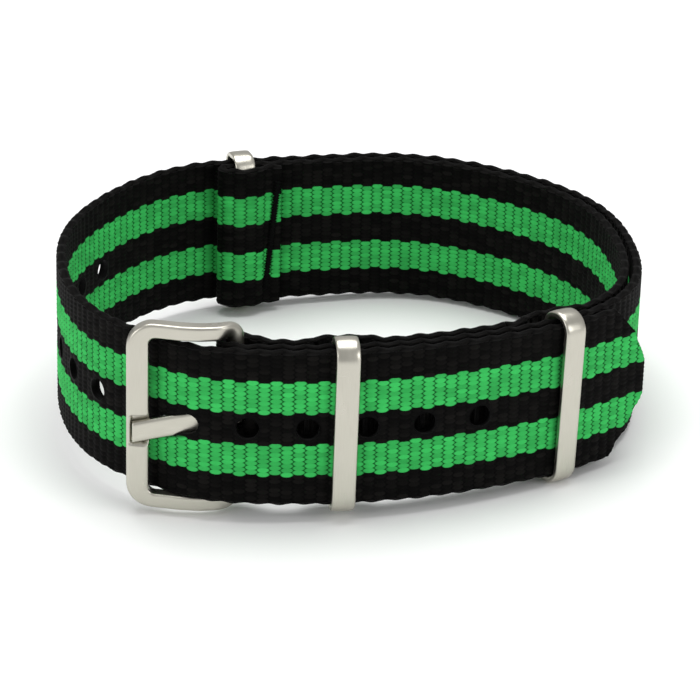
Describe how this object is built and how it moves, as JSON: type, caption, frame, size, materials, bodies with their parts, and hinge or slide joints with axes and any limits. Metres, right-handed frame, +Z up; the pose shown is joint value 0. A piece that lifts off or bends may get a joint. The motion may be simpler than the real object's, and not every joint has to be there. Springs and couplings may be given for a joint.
{
  "type": "nato watch strap",
  "caption": "Woven nylon pass-through watch strap, closed in a loop, with a tang buckle, two flat steel keepers and a rear ring on a sewn short strap.",
  "frame": {"origin": "on the surface that the closed strap stands on, under the middle of its bounding box", "axes": "+Z up, along the width of the webbing apart from a lean of about 2 degrees; +X to the right seen from the buckle's side; -Y towards that side, where the buckle, tang and keepers are"},
  "size_m": [0.0734, 0.0697, 0.0246],
  "materials": {
    "nylon_webbing": "ribbed plain-woven nylon webbing in black with two bright green stripes",
    "polyester_thread": "twisted black sewing thread in short bar tacks",
    "satin_steel": "fine satin-brushed stainless steel with softened edges"
  },
  "bodies": {
    "webbing": {"main_strap": "nylon_webbing", "short_strap": "nylon_webbing", "buckle_end_stitching": "polyester_thread", "near_keeper_stitching": "polyester_thread", "fold_end_stitching": "polyester_thread", "short_strap_stitching": "polyester_thread", "far_keeper_stitching": "polyester_thread", "ring_fold_stitching": "polyester_thread"},
    "buckle": {"buckle_frame": "satin_steel"},
    "tang": {"tang": "satin_steel"},
    "near_keeper": {"near_keeper": "satin_steel"},
    "far_keeper": {"far_keeper": "satin_steel"},
    "rear_ring": {"rear_ring": "satin_steel"}
  },
  "joints": [
    {"name": "frame_swing", "type": "hinge", "parent": "webbing", "child": "buckle", "pos_m": [-0.01324, -0.03006, 0.01229], "axis": [0.027, 0.0192, 0.9994], "range_deg": [-1, 1]},
    {"name": "tang_pivot", "type": "hinge", "parent": "buckle", "child": "tang", "pos_m": [-0.01324, -0.03006, 0.01229], "axis": [0.027, 0.0192, 0.9994], "range_deg": [0, 1]},
    {"name": "near_keeper_slide", "type": "slide", "parent": "webbing", "child": "near_keeper", "axis": [0.9886, 0.1476, -0.0296], "range_m": [-0.0008, 0.0008]},
    {"name": "far_keeper_slide", "type": "slide", "parent": "webbing", "child": "far_keeper", "axis": [0.837, 0.5462, -0.0331], "range_m": [-0.0008, 0.0008]},
    {"name": "rear_ring_swivel", "type": "hinge", "parent": "webbing", "child": "rear_ring", "pos_m": [-0.01399, 0.02766, 0.0112], "axis": [0.027, 0.0192, 0.9994], "range_deg": [-3.5, 3.5]}
  ]
}
